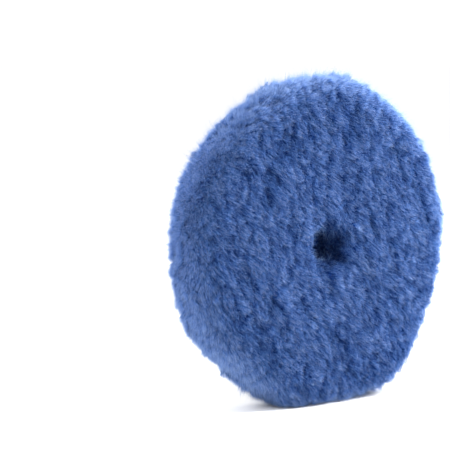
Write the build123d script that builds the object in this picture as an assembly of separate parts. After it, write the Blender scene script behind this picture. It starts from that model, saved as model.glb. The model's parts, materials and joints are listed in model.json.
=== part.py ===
"""Wool polishing pad with a hook-and-loop back, standing on its rim.

The pad is a stack of discs bonded face to face, with cut wool pile on one side.
Its axis is Y: the loop fabric's outer face is the plane y = 0 and looks along +Y,
and the wool looks along -Y. Z is up. All sizes are in millimetres.
"""
from build123d import *
import os

# Outline of the die-cut laminate
BACKING_RADIUS = 75.0
HOLE_RADIUS = 12.7

# Laminate thicknesses, from the machine side to the wool
LOOP_FABRIC_THICKNESS = 0.9
LOOP_ADHESIVE_THICKNESS = 0.15
FOAM_THICKNESS = 1.0
BOND_FILM_THICKNESS = 0.15
LATEX_THICKNESS = 0.25
GROUND_CLOTH_THICKNESS = 0.7

# Wool pile
PILE_LENGTH = 28.5          # height of the face above the ground cloth, at the rim
RIM_SPLAY = 7.0             # how far the pile leans out past the backing
BACK_ROUND = 7.0            # radius of the pile's turn over the backing's edge
RIM_ROUND = 15.0            # radius of the rounded shoulder
FACE_CROWN = 1.5            # how much the face rises between the shoulder and the centre
FUNNEL_ROUND = 7.0          # radius of the soft lip round the centre dimple
FUNNEL_NARROWING = 2.2      # how far the neck of the dimple closes in over the hole
ROOT_SETBACK = 0.5          # the tufts' roots stay this far back from the hole's edge

# The pile under the rim is pressed flat where the pad stands
FLAT_CLEARANCE = 4.0        # pile left between the backing's edge and the flat

# The loop fabric's cut edge is slightly rounded by the die
DIE_ROUND = 0.3


def stack_offsets(thicknesses):
    """Depth of each layer's outer face below y = 0, then that of the stack's inner face."""
    depths = [0.0]
    for thickness in thicknesses:
        depths.append(depths[-1] + thickness)
    return depths


def disc_layer(depth, thickness):
    """A flat ring of the laminate, with its machine side at y = -depth."""
    with BuildPart() as layer:
        with BuildSketch(Plane.XZ.offset(depth)):
            Circle(BACKING_RADIUS)
            Circle(HOLE_RADIUS, mode=Mode.SUBTRACT)
        extrude(amount=thickness)
    return layer.part


def loop_fabric(depth):
    """The loop disc, with its outer edge rounded on the machine side."""
    disc = disc_layer(depth, LOOP_FABRIC_THICKNESS)
    outer_edge = disc.edges().group_by(Axis.Y)[-1].sort_by(SortBy.RADIUS)[-1]
    return fillet(outer_edge, DIE_ROUND)


def wool_pile(depth):
    """The pile as one soft solid: rounded rim, crowned face and a funnel over the hole."""
    root_y = -depth
    face_y = root_y - PILE_LENGTH
    rim_radius = BACKING_RADIUS + RIM_SPLAY
    neck_radius = HOLE_RADIUS - FUNNEL_NARROWING

    outer_root = (BACKING_RADIUS, root_y)
    back_turn = (rim_radius, root_y - BACK_ROUND)
    widest = (rim_radius, face_y + RIM_ROUND)
    shoulder = (rim_radius - RIM_ROUND, face_y)
    lip = (neck_radius + FUNNEL_ROUND, face_y)
    crown = ((shoulder[0] + lip[0]) / 2, face_y - FACE_CROWN)
    neck = (neck_radius, face_y + FUNNEL_ROUND)
    inner_root = (HOLE_RADIUS + ROOT_SETBACK, root_y)

    with BuildPart() as pile:
        with BuildSketch(Plane.XY):
            with BuildLine():
                Line(widest, back_turn)
                TangentArc(back_turn, outer_root, tangent=(0, 1))
                TangentArc(widest, shoulder, tangent=(0, -1))
                ThreePointArc(shoulder, crown, lip)
                TangentArc(neck, lip, tangent=(0, -1))
                TangentArc(neck, inner_root, tangent=(0, 1))
                Line(inner_root, outer_root)
            make_face()
        revolve(axis=Axis.Y)
        flat_z = -(BACKING_RADIUS + FLAT_CLEARANCE)
        with Locations((0, (root_y + face_y) / 2, flat_z - RIM_SPLAY)):
            Box(2 * rim_radius, 2 * PILE_LENGTH, 2 * RIM_SPLAY, mode=Mode.SUBTRACT)
    return pile.part


def build():
    """Every piece of the pad, by node name."""
    layers = {
        "loop_adhesive": LOOP_ADHESIVE_THICKNESS,
        "backing_foam": FOAM_THICKNESS,
        "bond_film": BOND_FILM_THICKNESS,
        "latex_coating": LATEX_THICKNESS,
        "ground_cloth": GROUND_CLOTH_THICKNESS,
    }
    depths = stack_offsets([LOOP_FABRIC_THICKNESS, *layers.values()])
    pieces = {"loop_fabric": loop_fabric(depths[0])}
    for (node, thickness), depth in zip(layers.items(), depths[1:]):
        pieces[node] = disc_layer(depth, thickness)
    pieces["wool_pile"] = wool_pile(depths[-1])
    return pieces


os.makedirs("parts", exist_ok=True)
for node, solid in build().items():
    export_step(solid, f"parts/{node}.step")
    print(node, round(solid.volume, 1), "mm3")
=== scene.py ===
import json
import math

import bpy
import numpy as np
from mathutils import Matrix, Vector, kdtree


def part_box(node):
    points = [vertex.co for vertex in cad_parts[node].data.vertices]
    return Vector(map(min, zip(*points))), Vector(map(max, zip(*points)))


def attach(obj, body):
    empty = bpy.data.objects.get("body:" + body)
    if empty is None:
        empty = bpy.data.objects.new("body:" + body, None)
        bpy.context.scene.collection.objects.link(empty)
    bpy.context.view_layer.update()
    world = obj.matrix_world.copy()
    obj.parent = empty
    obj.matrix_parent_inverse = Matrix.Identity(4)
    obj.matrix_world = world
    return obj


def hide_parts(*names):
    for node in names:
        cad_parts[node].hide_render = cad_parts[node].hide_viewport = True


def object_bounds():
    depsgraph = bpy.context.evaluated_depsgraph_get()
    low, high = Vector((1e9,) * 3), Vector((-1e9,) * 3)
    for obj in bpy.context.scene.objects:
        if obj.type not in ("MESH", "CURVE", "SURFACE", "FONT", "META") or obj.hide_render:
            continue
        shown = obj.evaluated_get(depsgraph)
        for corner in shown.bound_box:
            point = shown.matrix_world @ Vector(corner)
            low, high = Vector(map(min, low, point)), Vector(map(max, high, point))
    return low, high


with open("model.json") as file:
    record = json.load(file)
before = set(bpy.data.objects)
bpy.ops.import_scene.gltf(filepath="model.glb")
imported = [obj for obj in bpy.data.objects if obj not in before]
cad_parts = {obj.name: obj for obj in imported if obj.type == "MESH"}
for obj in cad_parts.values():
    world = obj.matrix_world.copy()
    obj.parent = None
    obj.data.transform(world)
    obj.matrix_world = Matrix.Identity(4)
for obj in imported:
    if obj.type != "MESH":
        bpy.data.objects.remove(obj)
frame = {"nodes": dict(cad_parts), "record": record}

CAD_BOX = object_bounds()
MM = 0.001
rng = np.random.default_rng(7)

# ---------------------------------------------------------------- sizes from the frame
BACK_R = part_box("loop_fabric")[1].x
RIM_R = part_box("wool_pile")[1].x
ROOT_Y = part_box("wool_pile")[1].y
CROWN_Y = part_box("wool_pile")[0].y
FLOOR_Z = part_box("wool_pile")[0].z
MOUNTS = {m["name"]: m for m in frame["record"]["mounts"]}
HOLE_R = MOUNTS["centre_hole"]["dims"]["r_mm"] * MM

# The pile's outline, as in the CAD solid
FACE_CROWN = 1.5 * MM
BACK_ROUND = 7.0 * MM
RIM_ROUND = 15.0 * MM
FUNNEL_ROUND = 7.0 * MM
FUNNEL_NARROWING = 2.2 * MM
ROOT_SETBACK = 0.5 * MM
FACE_Y = CROWN_Y + FACE_CROWN

# How the pile lies
COMB = np.array([0.54, 0.0, -0.84])      # the way the face was last stroked
STREAK_STRETCH = 0.34                    # tufts are longer along the comb than across it
TUFT_SPACING = 1.2 * MM
CLUMP_SPACING = 5.0 * MM
PARTING_SPACING = 34 * MM                # long creases where the pile has parted along the comb
CRIMP = 1.3 * MM                         # the wool's own small waves

# Where the rim stands out (+) or is pressed in (-): angle from +X and half width in degrees, depth in mm
RIM_DENTS = [(165, 15, 1.0), (120, 25, -3.5), (45, 25, 0.5), (-55, 12, 5.5), (-125, 22, -3.5)]

DIMPLE_LOBES = 1.9 * MM                  # how far locks close in unevenly over the dimple

# Depths of the pile's relief
FINE_GROOVE = 2.1 * MM                   # between small tufts
COARSE_GROOVE = 2.6 * MM                 # between clumps
PARTING_DEPTH = 1.3 * MM
RIM_TUCK = 0.8 * MM                      # the body is set in here, so that loose fibres fill it out
UNDERLAY_DEPTH = 2.6 * MM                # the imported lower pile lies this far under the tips

# The laminate
LOOP_SINK = 0.2 * MM                     # the woven base lies this far under the loops' tops

# Every strand is a closed taper of this many sides and rings
STRAND_SIDES, STRAND_RINGS = 3, 2

# Steps of a sequence that spreads places evenly over a surface
EVEN_STEPS = (0.7548776662466927, 0.5698402909980532)

TUFT_STRANDS = 170000
CURLS = 90000
FLYAWAYS = 36000
RIM_FUZZ = 75000
RIM_WISPS = 7000
FABRIC_LOOPS = 30000
YARN_STUBS = 420


# ---------------------------------------------------------------- geometry helpers
def smooth_noise(points, wavelength, seed, waves=14):
    """A smooth random field of about unit size, with features of about one wavelength."""
    source = np.random.default_rng(seed)
    ways = source.normal(size=(waves, 3))
    ways /= np.linalg.norm(ways, axis=1)[:, None]
    ways *= (2 * math.pi / wavelength) * source.uniform(0.6, 1.5, waves)[:, None]
    phase = source.uniform(0, 2 * math.pi, waves)
    return np.sin(points @ ways.T + phase).sum(-1) / math.sqrt(waves / 2)


def unit(vectors):
    return vectors / np.maximum(np.linalg.norm(vectors, axis=-1, keepdims=True), 1e-12)


def smoothstep(low, high, value):
    x = np.clip((value - low) / (high - low), 0, 1)
    return x * x * (3 - 2 * x)


def triangle_mesh(name, verts, faces, uv, material, smooth=True, values=None):
    """A mesh object from arrays: vertices, triangles and one UV place per vertex."""
    mesh = bpy.data.meshes.new(name)
    mesh.vertices.add(len(verts))
    mesh.vertices.foreach_set("co", verts.astype(np.float32).ravel())
    mesh.loops.add(faces.size)
    mesh.loops.foreach_set("vertex_index", faces.astype(np.int32).ravel())
    mesh.polygons.add(len(faces))
    mesh.polygons.foreach_set("loop_start", np.arange(0, faces.size, 3, dtype=np.int32))
    mesh.update(calc_edges=True)
    mesh.polygons.foreach_set("use_smooth", np.full(len(faces), smooth))
    layer = mesh.uv_layers.new(name="OFBake")
    layer.uv.foreach_set("vector", uv[faces.ravel()].astype(np.float32).ravel())
    for key, value in (values or {}).items():
        mesh.attributes.new(key, "FLOAT", "POINT").data.foreach_set("value", value.astype(np.float32))
    mesh.materials.append(material)
    piece = bpy.data.objects.new(name, mesh)
    bpy.context.scene.collection.objects.link(piece)
    return piece


def ring_mesh(name, grid, material, values=None):
    """A closed ring from a grid of points.

    The section runs along the grid's first axis and the turn round the pad along its second.
    """
    rows, turns = grid.shape[:2]
    index = np.arange(rows * turns).reshape(rows, turns)
    a, b = index, np.roll(index, -1, 0)
    c, d = np.roll(b, -1, 1), np.roll(index, -1, 1)
    faces = np.concatenate([np.stack([a, b, c], -1).reshape(-1, 3), np.stack([a, c, d], -1).reshape(-1, 3)])
    row = np.repeat(np.arange(rows), turns) / rows
    turn = np.tile(np.arange(turns), rows) / turns
    uv = np.stack([turn, row], 1)
    mesh_values = {k: v.ravel() for k, v in (values or {}).items()}
    return triangle_mesh(name, grid.reshape(-1, 3), faces, uv, material, values=mesh_values)


def strand_mesh(name, base, knee, tip, radius, tone, reach, material):
    """Closed tapered strands, each bent from base over knee to tip.

    U holds the tone. V runs from the root's colour to as much of the tip's as reach allows.
    """
    sides, rings = STRAND_SIDES, STRAND_RINGS
    steps = np.linspace(0, 1, rings + 1)[:-1]
    taper = 1 - 0.35 * steps
    count = len(base)
    along = unit(tip - base)
    side = unit(np.cross(along, unit(rng.normal(size=(count, 3)))))
    other = np.cross(along, side)
    points = []
    for t, k in zip(steps, taper):
        middle = (1 - t) ** 2 * base + 2 * t * (1 - t) * knee + t * t * tip
        for j in range(sides):
            turn = 2 * math.pi * j / sides
            out = math.cos(turn) * side + math.sin(turn) * other
            points.append(middle + out * (radius * k)[:, None])
    points.append(tip)
    verts = np.stack(points, 1)
    per = verts.shape[1]
    faces = [(0, 2, 1)]
    for r in range(rings - 1):
        for j in range(sides):
            a, b = r * sides + j, r * sides + (j + 1) % sides
            faces += [(a, b, b + sides), (a, b + sides, a + sides)]
    last = (rings - 1) * sides
    faces += [(last + j, last + (j + 1) % sides, per - 1) for j in range(sides)]
    faces = np.array(faces)[None] + (np.arange(count) * per)[:, None, None]
    u = tone[:, None] + np.append(np.tile(np.linspace(-0.006, 0.006, sides), rings), 0.0)[None]
    v = reach[:, None] * np.append(np.repeat(steps, sides), 1.0)[None]
    uv = np.stack([np.clip(u, 0.002, 0.998), 0.01 + 0.98 * v], -1).reshape(-1, 2)
    return triangle_mesh(name, verts.reshape(-1, 3), faces.reshape(-1, 3), uv, material)


# ---------------------------------------------------------------- materials
def material(name, roughness, sheen=0.0, specular=0.3):
    """A new material with its Principled node and tree."""
    made = bpy.data.materials.new(name)
    made.use_nodes = True
    tree = made.node_tree
    shader = tree.nodes["Principled BSDF"]
    shader.inputs["Roughness"].default_value = roughness
    shader.inputs["Specular IOR Level"].default_value = specular
    shader.inputs["Sheen Weight"].default_value = sheen
    shader.inputs["Sheen Roughness"].default_value = 0.5
    return made, tree, shader


def ramp(tree, stops, factor):
    node = tree.nodes.new("ShaderNodeValToRGB")
    elements = node.color_ramp.elements
    while len(elements) > 1:
        elements.remove(elements[-1])
    elements[0].position, elements[0].color = stops[0][0], (*stops[0][1], 1)
    for place, colour in stops[1:]:
        elements.new(place).color = (*colour, 1)
    tree.links.new(factor, node.inputs[0])
    return node.outputs["Color"]


def mixed(tree, factor, first, second):
    node = tree.nodes.new("ShaderNodeMix")
    node.data_type = "RGBA"
    tree.links.new(factor, node.inputs[0])
    tree.links.new(first, node.inputs[6])
    tree.links.new(second, node.inputs[7])
    return node.outputs[2]


def noise(tree, scale, detail=3.0, kind="Object"):
    place = tree.nodes.new("ShaderNodeTexCoord")
    node = tree.nodes.new("ShaderNodeTexNoise")
    node.inputs["Scale"].default_value = scale
    node.inputs["Detail"].default_value = detail
    tree.links.new(place.outputs[kind], node.inputs["Vector"])
    return node.outputs["Fac"]


def bump(tree, shader, height, strength, distance):
    node = tree.nodes.new("ShaderNodeBump")
    node.inputs["Strength"].default_value = strength
    node.inputs["Distance"].default_value = distance
    tree.links.new(height, node.inputs["Height"])
    tree.links.new(node.outputs["Normal"], shader.inputs["Normal"])


def wool_fibre_material():
    """Dyed wool seen strand by strand: dark at the root, pale at the cut tip, each strand its own tone. The
    near-black roots are partly painted shade of the pile's depths, and the near-white tips are partly
    painted highlight.
    """
    made, tree, shader = material("wool_fibre", 0.85, sheen=0.05, specular=0.05)
    shader.inputs["Sheen Tint"].default_value = (0.50, 0.68, 1.0, 1)
    place = tree.nodes.new("ShaderNodeUVMap")
    place.uv_map = "OFBake"
    split = tree.nodes.new("ShaderNodeSeparateXYZ")
    tree.links.new(place.outputs["UV"], split.inputs[0])
    deep = ramp(tree, [(0.0, (0.002, 0.014, 0.085)), (0.5, (0.008, 0.043, 0.205)),
                       (1.0, (0.026, 0.098, 0.375))], split.outputs["Y"])
    pale = ramp(tree, [(0.0, (0.008, 0.045, 0.220)), (0.5, (0.120, 0.275, 0.690)),
                       (1.0, (0.620, 0.760, 1.000))], split.outputs["Y"])
    tree.links.new(mixed(tree, split.outputs["X"], deep, pale), shader.inputs["Base Color"])
    return made


def wool_underlay_material():
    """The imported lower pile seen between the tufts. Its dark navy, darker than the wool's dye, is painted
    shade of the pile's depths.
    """
    made, tree, shader = material("wool_underlay", 1.0, specular=0.0)
    fine = noise(tree, 900.0)
    colour = ramp(tree, [(0.3, (0.002, 0.014, 0.090)), (0.7, (0.013, 0.052, 0.250))], fine)
    tree.links.new(colour, shader.inputs["Base Color"])
    bump(tree, shader, fine, 0.6, 0.4 * MM)
    return made


def loop_fabric_material():
    """The dark woven base under the nylon loops."""
    made, tree, shader = material("loop_nylon", 0.95, specular=0.0)
    grain = noise(tree, 1400.0, 4.0)
    colour = ramp(tree, [(0.35, (0.002, 0.0022, 0.003)), (0.6, (0.005, 0.0056, 0.007)),
                         (0.75, (0.014, 0.0155, 0.018))], grain)
    tree.links.new(colour, shader.inputs["Base Color"])
    bump(tree, shader, grain, 0.7, 0.25 * MM)
    return made


def loop_fibre_material():
    """Nylon loops, from near black to grey, each its own tone."""
    made, tree, shader = material("loop_fibre", 0.7, specular=0.05)
    place = tree.nodes.new("ShaderNodeUVMap")
    place.uv_map = "OFBake"
    split = tree.nodes.new("ShaderNodeSeparateXYZ")
    tree.links.new(place.outputs["UV"], split.inputs[0])
    colour = ramp(tree, [(0.0, (0.001, 0.0012, 0.002)), (0.5, (0.014, 0.0155, 0.019)),
                         (1.0, (0.085, 0.093, 0.105))], split.outputs["X"])
    tree.links.new(colour, shader.inputs["Base Color"])
    return made


def foam_material():
    made, tree, shader = material("black_foam", 0.85, specular=0.2)
    cells = noise(tree, 2600.0, 2.0)
    colour = ramp(tree, [(0.4, (0.006, 0.006, 0.008)), (0.7, (0.022, 0.023, 0.027))], cells)
    tree.links.new(colour, shader.inputs["Base Color"])
    bump(tree, shader, cells, 0.8, 0.15 * MM)
    return made


def film_material():
    made, tree, shader = material("hot_melt", 0.35, specular=0.5)
    cloud = noise(tree, 300.0)
    colour = ramp(tree, [(0.3, (0.030, 0.031, 0.036)), (0.7, (0.075, 0.078, 0.090))], cloud)
    tree.links.new(colour, shader.inputs["Base Color"])
    return made


def latex_material():
    made, tree, shader = material("latex", 0.6, specular=0.4)
    cloud = noise(tree, 500.0)
    colour = ramp(tree, [(0.3, (0.045, 0.070, 0.150)), (0.7, (0.095, 0.130, 0.240))], cloud)
    tree.links.new(colour, shader.inputs["Base Color"])
    bump(tree, shader, cloud, 0.3, 0.1 * MM)
    return made


def knit_material():
    """Polyester ground cloth with a blue tint."""
    made, tree, shader = material("dyed_knit", 0.8, sheen=0.2, specular=0.2)
    yarn = noise(tree, 1500.0)
    colour = ramp(tree, [(0.3, (0.035, 0.085, 0.290)), (0.7, (0.150, 0.260, 0.600))], yarn)
    tree.links.new(colour, shader.inputs["Base Color"])
    bump(tree, shader, yarn, 0.5, 0.15 * MM)
    return made


def floor_material():
    made, tree, shader = material("studio_floor", 0.9, specular=0.0)
    cloud = noise(tree, 3.0)
    colour = ramp(tree, [(0.0, (0.86, 0.86, 0.86)), (1.0, (0.88, 0.88, 0.88))], cloud)
    tree.links.new(colour, shader.inputs["Base Color"])
    return made


# ---------------------------------------------------------------- the pile's outline
def arc(centre, radius, start, end, count):
    turn = np.radians(np.linspace(start, end, count))
    return np.stack([centre[0] + radius * np.cos(turn), centre[1] + radius * np.sin(turn)], 1)


def pile_outline():
    """(radius, y) along the pile's surface, from the hole's edge over the face to the back of the rim."""
    neck_r = HOLE_R - FUNNEL_NARROWING
    wall_t = np.linspace(0, 1, 12)
    neck_y = FACE_Y + FUNNEL_ROUND
    wall = np.stack([HOLE_R + ROOT_SETBACK + (neck_r - HOLE_R - ROOT_SETBACK) * np.sin(wall_t * math.pi / 2),
                     ROOT_Y + (neck_y - ROOT_Y) * wall_t], 1)
    lip = arc((neck_r + FUNNEL_ROUND, neck_y), FUNNEL_ROUND, 180, 270, 16)
    shoulder_r = RIM_R - RIM_ROUND
    across = np.linspace(-1, 1, 40)
    middle_r = (lip[-1, 0] + shoulder_r) / 2
    half = (shoulder_r - lip[-1, 0]) / 2
    face = np.stack([middle_r + half * across, FACE_Y - FACE_CROWN * (1 - across**2)], 1)
    shoulder = arc((shoulder_r, FACE_Y + RIM_ROUND), RIM_ROUND, 270, 360, 20)
    splay = RIM_R - BACK_R
    back_r = (splay**2 + BACK_ROUND**2) / (2 * splay)
    end = math.degrees(math.atan2(BACK_ROUND, back_r - splay))
    back = arc((RIM_R - back_r, ROOT_Y - BACK_ROUND), back_r, 0, end, 14)
    line = np.concatenate([wall, lip[1:], face[1:], shoulder[1:], back])
    marks = np.cumsum([0, len(wall) - 1, len(lip) - 1, len(face) - 1, len(shoulder) - 1, len(back)])
    length = np.append(0, np.cumsum(np.linalg.norm(np.diff(line, axis=0), axis=1)))
    return line, length, length[marks]


OUTLINE, OUTLINE_S, MARKS = pile_outline()
TOTAL_S = OUTLINE_S[-1]
_, NECK_S, LIP_S, SHOULDER_S, WIDEST_S, _ = MARKS
FUZZ_START_S = SHOULDER_S + 8 * MM       # the rim's loose fuzz begins here
STEP_S = np.diff(OUTLINE_S)
PILE_AREA = 2 * math.pi * (STEP_S * (OUTLINE[1:, 0] + OUTLINE[:-1, 0]) / 2).sum()


def outline_at(s):
    """Radius, y and the outward normal at a distance along the outline."""
    step = 0.4 * MM
    r, y = np.interp(s, OUTLINE_S, OUTLINE[:, 0]), np.interp(s, OUTLINE_S, OUTLINE[:, 1])
    low, high = np.clip(s - step, 0, TOTAL_S), np.clip(s + step, 0, TOTAL_S)
    dr = np.interp(high, OUTLINE_S, OUTLINE[:, 0]) - np.interp(low, OUTLINE_S, OUTLINE[:, 0])
    dy = np.interp(high, OUTLINE_S, OUTLINE[:, 1]) - np.interp(low, OUTLINE_S, OUTLINE[:, 1])
    size = np.maximum(np.hypot(dr, dy), 1e-12)
    return r, y, dy / size, -dr / size


def root_radius(s):
    """Where on the ground cloth the strand that ends at s is rooted."""
    return np.interp(s, [0, LIP_S, SHOULDER_S, TOTAL_S],
                     [HOLE_R + ROOT_SETBACK, HOLE_R + 7 * MM, BACK_R - 11 * MM, BACK_R - 0.4 * MM])


def rim_shape(angle):
    """How far the rim stands out or in at each angle, in metres."""
    out = np.zeros_like(angle)
    for middle, width, depth in RIM_DENTS:
        away = (np.degrees(angle) - middle + 180) % 360 - 180
        out += depth * MM * np.exp(-((away / width) ** 2))
    return out


def on_pad(r, y, angle):
    """Points of the pile in the row frame, with the rim's uneven outline worked in."""
    share = smoothstep(0.45 * RIM_R, RIM_R, r)
    cleft = np.clip((ROOT_Y - y) / (ROOT_Y - FACE_Y), 0, 1) * (1 - smoothstep(HOLE_R, 2.2 * HOLE_R, r))
    lobes = DIMPLE_LOBES * np.maximum(0.5 + np.cos(angle - 0.9) + 0.55 * np.cos(5 * angle + 0.6), 0)
    r = r + rim_shape(angle) * share - lobes * cleft
    return np.stack([r * np.cos(angle), y, r * np.sin(angle)], -1)


def settled(points):
    """Pile that would be under the floor is turned up and pressed out to the sides."""
    soft = 1.2 * MM
    under = np.maximum(FLOOR_Z + soft - points[..., 2], 0)
    middle_y = (ROOT_Y + FACE_Y) / 2
    moved = points.copy()
    moved[..., 0] += np.sign(points[..., 0]) * under * 0.35
    moved[..., 1] += np.clip((points[..., 1] - middle_y) / (8 * MM), -1, 1) * under * 0.45
    lift = soft * (1 - np.exp(-under / soft))
    moved[..., 2] = np.where(under > 0, FLOOR_Z + soft - lift * 0.97, points[..., 2])
    return moved


# ---------------------------------------------------------------- tufts
def even_places(count, seed, start=0.0):
    """Evenly spread places on the pile's surface, as distance along the outline and angle."""
    steps = np.arange(count) + 0.5 + seed * 0.37
    fine_s = np.linspace(start, TOTAL_S, 2000)
    area = np.append(0, np.cumsum((outline_at(fine_s)[0][1:] + outline_at(fine_s)[0][:-1]) / 2))
    s = np.interp((steps * EVEN_STEPS[0]) % 1, area / area[-1], fine_s)
    angle = 2 * math.pi * ((steps * EVEN_STEPS[1]) % 1)
    return s, angle


def tuft_key(points):
    """Coordinates in which tufts are round: shortened along the comb, and warped so that rows waver."""
    across = np.cross(COMB, (0, 1, 0))
    warp = 1.4 * MM
    waver = np.stack([smooth_noise(points, 22 * MM, k) for k in (31, 32, 33)], -1) * warp
    p = points + waver
    return np.stack([p @ COMB * STREAK_STRETCH, p @ across, p[..., 1]], -1)


class Tufts:
    """Cells of the pile that lean together."""

    def __init__(self, spacing, seed):
        count = int(PILE_AREA * STREAK_STRETCH / spacing**2)
        s, angle = even_places(count, seed)
        source = np.random.default_rng(seed)
        s = np.clip(s + source.normal(0, 0.22 * spacing, count), 0, TOTAL_S)
        angle = angle + source.normal(0, 0.22 * spacing / (0.6 * RIM_R), count)
        r, y, _, _ = outline_at(s)
        self.places = on_pad(r, y, angle)
        self.lift = source.normal(0, 1, count)
        self.tone = source.uniform(0, 1, count)
        self.lean = source.normal(size=(count, 3))
        keys = tuft_key(self.places)
        self.tree = kdtree.KDTree(count)
        for i, key in enumerate(keys):
            self.tree.insert(key, i)
        self.tree.balance()

    def find(self, points):
        """The nearest tuft to each point, and from 0 at its middle to 1 at its border."""
        keys = tuft_key(points)
        nearest = np.empty(len(keys), int)
        border = np.empty(len(keys))
        for i, key in enumerate(keys):
            (_, first, near), (_, _, far) = self.tree.find_n(key, 2)
            nearest[i] = first
            border[i] = near / max(far, 1e-9)
        return nearest, border


FINE = Tufts(TUFT_SPACING, 11)
COARSE = Tufts(CLUMP_SPACING, 12)


class Pile:
    """What the pile is like at many places on its surface."""

    def __init__(self, s, angle):
        self.s, self.angle = s, angle
        r, y, nr, ny = outline_at(s)
        self.surface = on_pad(r, y, angle)
        self.radial = np.stack([np.cos(angle), np.zeros(len(s)), np.sin(angle)], 1)
        self.normal = self.radial * nr[:, None] + np.array([0, 1, 0]) * ny[:, None]
        self.fine, self.fine_border = FINE.find(self.surface)
        self.coarse, self.coarse_border = COARSE.find(self.surface)
        self.rim = smoothstep(SHOULDER_S, WIDEST_S - 4 * MM, s)
        self.funnel = 1 - smoothstep(NECK_S, LIP_S, s)
        swell = smooth_noise(self.surface, 45 * MM, 5) * 0.5 * MM
        fine_groove = FINE_GROOVE * self.fine_border**3 * (1 - 0.85 * self.rim)
        coarse_groove = COARSE_GROOVE * self.coarse_border**6 * (1 - 0.8 * self.rim)
        fine_lift = FINE.lift[self.fine] * (0.5 + 0.35 * self.rim) * MM
        lift = fine_lift + COARSE.lift[self.coarse] * (0.5 + 0.1 * self.rim) * MM
        across = tuft_key(self.surface) * (0.3, 1, 1)
        self.parting = np.exp(-((smooth_noise(across, PARTING_SPACING, 15) / 0.10) ** 2)) * (1 - self.rim)
        self.height = swell + lift - fine_groove - coarse_groove - PARTING_DEPTH * self.parting
        self.height = self.height - RIM_TUCK * self.rim
        # Painted shade mask: the gaps between tufts and the partings, where strands are darkened.
        groove_shade = 0.45 * self.fine_border**4 + 0.55 * self.coarse_border**5 + 0.35 * self.parting
        self.groove_shade = np.clip(groove_shade, 0, 0.9) * (1 - 0.9 * self.rim)

    def comb(self):
        """The stroke's way along the surface, turned a little from tuft to tuft."""
        way = COMB + FINE.lean[self.fine] * 0.25 + COARSE.lean[self.coarse] * 0.15
        return way - self.normal * (self.normal * way).sum(1)[:, None]

    def tone(self, source, spread, painted_shade):
        micro = smooth_noise(tuft_key(self.surface), CRIMP, 9)
        broad = smooth_noise(self.surface, 30 * MM, 8)
        tone = 0.10 + 0.34 * FINE.tone[self.fine] + 0.14 * COARSE.tone[self.coarse]
        # Painted shade: tones are darkened down the dimple's funnel, as far as the shade weight allows.
        tone = tone + 0.15 * micro + 0.05 * broad - 0.5 * painted_shade * self.funnel
        # Painted shade: the pile is darkened towards the floor.
        tone = tone - 0.26 * (1 - smoothstep(FLOOR_Z, FLOOR_Z + 22 * MM, self.surface[:, 2]))
        # Painted light: the rim, and its back most of all, is made paler, standing in for light through its
        # loose fibres.
        tone = tone + 0.50 * self.rim + 0.25 * smoothstep(WIDEST_S - 6 * MM, TOTAL_S - 4 * MM, self.s)
        return tone + source.normal(0, spread, len(self.s))

    def reach(self, source, painted_shade):
        # Painted shade: in the dimple and in the gaps between tufts, strands keep more of their dark root
        # colour. On the rim the pale tips are held back a little.
        dark = (1 - 0.7 * painted_shade * self.funnel) * (1 - painted_shade * self.groove_shade)
        return source.uniform(0.8, 1.0, len(self.s)) * dark * (1 - 0.07 * self.rim)


def pile_strands(count, seed, exposed, radius, shift, proud, wander, start=0.0, painted_shade=1.0):
    """Strands that stand up out of the pile: base, knee, tip, radius, tone, reach and angle.

    Their shade weight sets how far they take on the shade painted into the dimple and the gaps between
    tufts.
    """
    source = np.random.default_rng(seed)
    pile = Pile(*even_places(count, seed, start))
    surface, normal, radial = pile.surface, pile.normal, pile.radial
    root_r = root_radius(pile.s)
    root = on_pad(root_r, np.full(count, ROOT_Y), pile.angle)
    grow = surface - root
    length = np.linalg.norm(grow, axis=1)
    grow = unit(grow)
    shown = np.minimum(exposed * source.uniform(0.8, 1.2, count), 0.94 * length)
    base = surface - grow * shown[:, None] + normal * np.minimum(pile.height, 0)[:, None]
    facing = np.clip(-normal[:, 1], 0, 1)
    lean = pile.comb() * (0.06 + 0.34 * facing * (1 - pile.funnel))[:, None]
    lean = lean + radial * (0.26 * pile.rim - (0.10 + 0.5 * (1 - painted_shade)) * pile.funnel)[:, None]
    lean[:, 2] -= 0.05
    tip = surface + normal * (pile.height + proud * source.uniform(0.2, 1.0, count))[:, None]
    tip = tip + lean * shown[:, None]
    pull = (source.uniform(0.1, 0.5, count) * (1 - 0.5 * pile.rim))[:, None]
    toward = FINE.places[pile.fine] + lean * shown[:, None] + normal * pile.height[:, None] - tip
    toward = toward - normal * (toward * normal).sum(1)[:, None]
    tip = tip + toward * pull * (np.linalg.norm(toward, axis=1) < 3 * TUFT_SPACING)[:, None]
    tip = tip + unit(source.normal(size=(count, 3))) * (wander * source.uniform(0, 1, count))[:, None]
    knee = base + (grow * 0.75 + normal * 0.25) * (0.55 * shown)[:, None]
    knee = knee + unit(source.normal(size=(count, 3))) * (0.6 * wander)
    sizes = radius * source.uniform(0.7, 1.3, count)
    tone = np.clip(pile.tone(source, 0.26, painted_shade) + shift, 0.01, 0.99)
    return settled(base), settled(knee), settled(tip), sizes, tone, pile.reach(source, painted_shade), pile.angle


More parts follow.
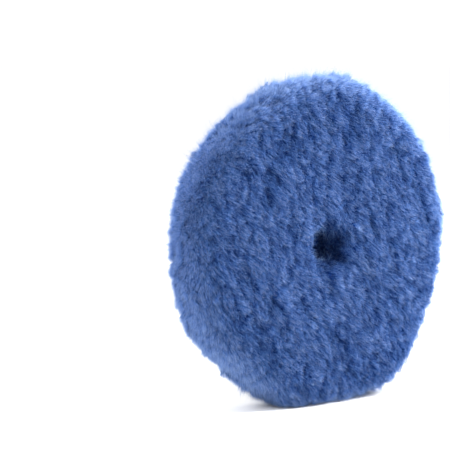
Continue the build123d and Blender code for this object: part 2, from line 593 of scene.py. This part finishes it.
def curls(count, seed, span, radius, shift):
    """Crimped fibres that arch out of the surface and back, lying roughly along the comb."""
    source = np.random.default_rng(seed)
    pile = Pile(*even_places(count, seed))
    across = np.cross(pile.normal, pile.comb())
    way = unit(pile.comb() + across * source.normal(0, 0.9, count)[:, None])
    way = way * (span * source.uniform(0.6, 1.3, count))[:, None]
    level = pile.surface + pile.normal * pile.height[:, None]
    base = level - way * 0.5 - pile.normal * 0.9 * MM
    tip = level + way * 0.5 + pile.normal * source.uniform(-0.5 * MM, 0.9 * MM, count)[:, None]
    bow = np.cross(pile.normal, unit(way)) * source.normal(0, CRIMP, count)[:, None]
    knee = level + bow + pile.normal * source.uniform(0.5 * MM, 1.7 * MM, count)[:, None]
    sizes = radius * source.uniform(0.7, 1.3, count)
    tone = np.clip(pile.tone(source, 0.34, 0.8) + shift, 0.01, 0.99)
    return settled(base), settled(knee), settled(tip), sizes, tone, pile.reach(source, 0.8), pile.angle


# ---------------------------------------------------------------- pieces
def add(piece, slot, *replaced):
    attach(piece, "root")
    if replaced:
        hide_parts(*replaced)
    return piece


def wool_underlay(skin):
    """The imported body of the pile, which the strands stand out of."""
    rows, turns = 210, 420
    s = np.linspace(0, TOTAL_S, rows)
    angle = np.linspace(0, 2 * math.pi, turns, endpoint=False)
    ss, aa = np.meshgrid(s, angle, indexing="ij")
    pile = Pile(ss.ravel(), aa.ravel())
    deep = UNDERLAY_DEPTH
    inset = deep * np.minimum(1, np.minimum(pile.s, TOTAL_S - pile.s) / (6 * MM))
    grid = settled(pile.surface + pile.normal * (pile.height * inset / deep - inset)[:, None])
    grid = grid.reshape(rows, turns, 3)
    closing = np.linspace(1, 0, 14)[1:-1]
    outer, inner = grid[-1], grid[0]
    floor = inner[None] + (outer - inner)[None] * closing[:, None, None]
    floor[..., 1] = ROOT_Y
    grid = np.concatenate([grid, floor])
    return ring_mesh("wool_underlay", grid, skin)


def in_sectors(name, strands, sectors, fibre, slot, node):
    """Strand pieces by sector, so that none is too heavy."""
    *values, angle = strands
    sector = np.floor((angle % (2 * math.pi)) / (2 * math.pi) * sectors).astype(int)
    made = []
    for k in range(sectors):
        chosen = [value[sector == k] for value in values]
        piece = strand_mesh(f"{name}_{k:02d}", *chosen, fibre)
        made.append(add(piece, slot, node))
    return made


def wool():
    skin, fibre = wool_underlay_material(), wool_fibre_material()
    body = add(wool_underlay(skin), "blue_wool", "wool_pile")
    tufts = pile_strands(TUFT_STRANDS, 3, 6.0 * MM, 0.125 * MM, 0.0, 0.5 * MM, 1.1 * MM)
    in_sectors("wool_tufts", tufts, 10, fibre, "blue_wool", "wool_pile")
    # The curls, flyaways, rim fuzz and wisps get paler tones than the tufts: painted highlight and glow, for
    # light caught on and passing through thin loose fibres.
    arches = curls(CURLS, 5, 2.8 * MM, 0.07 * MM, 0.40)
    in_sectors("wool_curls", arches, 6, fibre, "blue_wool", "wool_pile")
    loose = pile_strands(FLYAWAYS, 4, 6.5 * MM, 0.055 * MM, 0.34, 2.0 * MM, 2.6 * MM, painted_shade=0.25)
    in_sectors("wool_flyaways", loose, 3, fibre, "blue_wool", "wool_pile")
    fuzz = pile_strands(RIM_FUZZ, 9, 5.5 * MM, 0.045 * MM, 0.26, 3.0 * MM, 1.4 * MM, start=FUZZ_START_S)
    in_sectors("rim_fuzz", fuzz, 6, fibre, "blue_wool", "wool_pile")
    wisps = pile_strands(RIM_WISPS, 10, 9.0 * MM, 0.035 * MM, 0.5, 5.5 * MM, 3.0 * MM, start=FUZZ_START_S)
    in_sectors("rim_wisps", wisps, 1, fibre, "blue_wool", "wool_pile")


def layer_ring(node, skin, rows, turns, edge, face_bump=0.0, sink=0.0, rounding=0.1 * MM):
    """A laminate layer as a closed ring. edge(angle, height) moves its cut edges out or in."""
    lo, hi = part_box(node)
    top, bottom = hi.y - sink, lo.y
    angle = np.linspace(0, 2 * math.pi, turns, endpoint=False)
    down = np.linspace(0, 1, 7)
    outward = np.linspace(HOLE_R + rounding, BACK_R - rounding, rows)
    r = np.concatenate([outward, np.full(7, BACK_R), outward[::-1], np.full(7, HOLE_R)])
    y = np.concatenate([np.full(rows, top), top + (bottom - top) * (0.08 + 0.84 * down),
                        np.full(rows, bottom), bottom + (top - bottom) * (0.08 + 0.84 * down)])
    at_edge = np.concatenate([np.zeros(rows), np.ones(7), np.zeros(rows), -np.ones(7)])
    at_top = np.concatenate([np.ones(rows), np.zeros(len(r) - rows)])
    rr, aa = np.meshgrid(r, angle, indexing="ij")
    yy = np.repeat(y[:, None], turns, 1)
    rr = rr + at_edge[:, None] * edge(aa, yy)
    points = np.stack([rr * np.cos(aa), yy, rr * np.sin(aa)], -1)
    if face_bump:
        ripple = smooth_noise(points.reshape(-1, 3), 1.2 * MM, 21).reshape(rr.shape)
        points[..., 1] += at_top[:, None] * ripple * face_bump
    return ring_mesh(node + "_layer", points[::-1], skin)


def edge_noise(wavelength, depth, seed):
    """A cut edge that wavers by about depth."""
    def edge(angle, height):
        around = np.stack([BACK_R * np.cos(angle), height * 4, BACK_R * np.sin(angle)], -1)
        return smooth_noise(around.reshape(-1, 3), wavelength, seed).reshape(angle.shape) * depth
    return edge


def knit_edge(angle, height):
    """Ribs of yarn along the ground cloth's cut edge."""
    ribs = 300
    return 0.16 * MM * np.sin(ribs * angle + 3 * np.sin(17 * angle))


def disc_places(count, seed, margin):
    """Evenly spread places on the laminate's ring face."""
    steps = np.arange(count) + 0.5 + seed * 0.37
    low, high = (HOLE_R + margin) ** 2, (BACK_R - margin) ** 2
    r = np.sqrt(low + (high - low) * ((steps * EVEN_STEPS[0]) % 1))
    return r, 2 * math.pi * ((steps * EVEN_STEPS[1]) % 1)


def fabric_loops(count, seed):
    """The brushed loops of the hook-and-loop face, each a small arch."""
    source = np.random.default_rng(seed)
    r, angle = disc_places(count, seed, 0.5 * MM)
    here = np.stack([r * np.cos(angle), np.zeros(count), r * np.sin(angle)], 1)
    here[:, [0, 2]] += source.normal(0, 0.25 * MM, (count, 2))
    turn = source.uniform(0, 2 * math.pi, count)
    way = np.stack([np.cos(turn), np.zeros(count), np.sin(turn)], 1)
    way = way * source.uniform(0.5 * MM, 1.3 * MM, count)[:, None]
    sink = np.array([0, LOOP_SINK, 0])
    rise = np.stack([np.zeros(count), source.uniform(0.2 * MM, 0.7 * MM, count), np.zeros(count)], 1)
    base, tip = here - way * 0.5 - sink * 1.3, here + way * 0.5 - sink * 1.1
    knee = here + rise + source.normal(0, 0.2 * MM, (count, 3))
    sizes = 0.15 * MM * source.uniform(0.7, 1.2, count)
    tone = np.clip(source.beta(0.5, 0.8, count), 0.01, 0.99)
    return base, knee, tip, sizes, tone, np.ones(count), angle


def yarn_stubs(count, seed):
    """Cut yarn ends along the ground cloth's outer edge."""
    source = np.random.default_rng(seed)
    lo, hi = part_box("ground_cloth")
    angle = np.sort(source.uniform(0, 2 * math.pi, count))
    y = source.uniform(lo.y + 0.15 * MM, hi.y - 0.15 * MM, count)
    out = np.stack([np.cos(angle), np.zeros(count), np.sin(angle)], 1)
    base = out * (BACK_R - 0.6 * MM)
    base[:, 1] = y
    tip = base + out * source.uniform(0.8 * MM, 1.8 * MM, count)[:, None]
    tip = tip + source.normal(0, 0.3 * MM, (count, 3))
    knee = (base + tip) / 2 + source.normal(0, 0.2 * MM, (count, 3))
    sizes = 0.16 * MM * source.uniform(0.7, 1.2, count)
    return base, knee, tip, sizes, source.uniform(0.3, 0.99, count), np.ones(count), angle


def laminate():
    for node, made in (("loop_adhesive", film_material()), ("bond_film", film_material()),
                       ("latex_coating", latex_material())):
        mesh = frame["nodes"][node].data
        mesh.materials.clear()
        mesh.materials.append(made)

    fabric = layer_ring("loop_fabric", loop_fabric_material(), 50, 720, edge_noise(2.2 * MM, 0.05 * MM, 41),
                        face_bump=0.05 * MM, sink=LOOP_SINK, rounding=0.25 * MM)
    add(fabric, "black_loop_fabric", "loop_fabric")
    loops = in_sectors("fabric_loops", fabric_loops(FABRIC_LOOPS, 6), 3, loop_fibre_material(),
                       "black_loop_fabric", "loop_fabric")

    foam = layer_ring("backing_foam", foam_material(), 6, 1200, edge_noise(0.9 * MM, 0.05 * MM, 42))
    add(foam, "black_foam", "backing_foam")

    knit = knit_material()
    cloth = layer_ring("ground_cloth", knit, 6, 1200, knit_edge)
    add(cloth, "dyed_knit", "ground_cloth")
    stubs = in_sectors("yarn_stubs", yarn_stubs(YARN_STUBS, 8), 1, knit, "dyed_knit", "ground_cloth")


# ---------------------------------------------------------------- studio
def studio():
    scene = bpy.context.scene
    scene.view_settings.view_transform = "Standard"
    scene.view_settings.look = "None"
    world = bpy.data.worlds.new("studio")
    world.use_nodes = True
    world.node_tree.nodes["Background"].inputs[0].default_value = (1, 1, 1, 1)
    world.node_tree.nodes["Background"].inputs[1].default_value = 1.16
    scene.world = world
    reach = 40.0
    floor = bpy.data.meshes.new("studio_floor")
    floor.from_pydata([(-reach, -reach, FLOOR_Z), (reach, -reach, FLOOR_Z), (reach, reach, FLOOR_Z),
                       (-reach, reach, FLOOR_Z)], [], [(0, 1, 2, 3)])
    floor.materials.append(floor_material())
    ground = bpy.data.objects.new("studio_floor", floor)
    scene.collection.objects.link(ground)


def lamp(name, place, target, size, power):
    data = bpy.data.lights.new(name, "AREA")
    data.shape, data.size, data.energy = "DISK", size, power
    light = bpy.data.objects.new(name, data)
    light.location = place
    light.rotation_mode = "QUATERNION"
    light.rotation_quaternion = (Vector(target) - Vector(place)).to_track_quat("-Z", "Y")
    bpy.context.scene.collection.objects.link(light)


# The camera's place round the pad, and where the pad sits in its frame
AZIMUTH, ELEVATION, DISTANCE = -42.5, 5.0, 1.037
LENS, SENSOR = 168.7, 36.0
ASIDE, ABOVE = 0.0432, 0.0083


def camera():
    lo, hi = CAD_BOX
    centre = Vector((0, (lo.y + hi.y) / 2, 0))
    a, e = math.radians(AZIMUTH), math.radians(ELEVATION)
    back = Vector((math.sin(a) * math.cos(e), -math.cos(a) * math.cos(e), math.sin(e)))
    right = Vector((math.cos(a), math.sin(a), 0))
    up = back.cross(right)
    data = bpy.data.cameras.new("camera")
    data.lens, data.sensor_width = LENS, SENSOR
    data.clip_start, data.clip_end = 0.01, 50
    made = bpy.data.objects.new("camera", data)
    made.location = centre + back * DISTANCE
    target = centre - right * ASIDE + up * ABOVE
    made.rotation_mode = "QUATERNION"
    made.rotation_quaternion = (target - made.location).to_track_quat("-Z", "Y")
    bpy.context.scene.collection.objects.link(made)
    bpy.context.scene.camera = made


studio()
lamp("key", (0.56, -0.34, 0.36), (0, 0, 0), 0.25, 10.5)
lamp("left", (-0.8, 0.05, 0.5), (0, 0, 0), 0.5, 5.0)
lamp("back", (0.3, 1.4, 1.1), (0, 0, 0), 1.0, 10)
camera()
laminate()
wool()
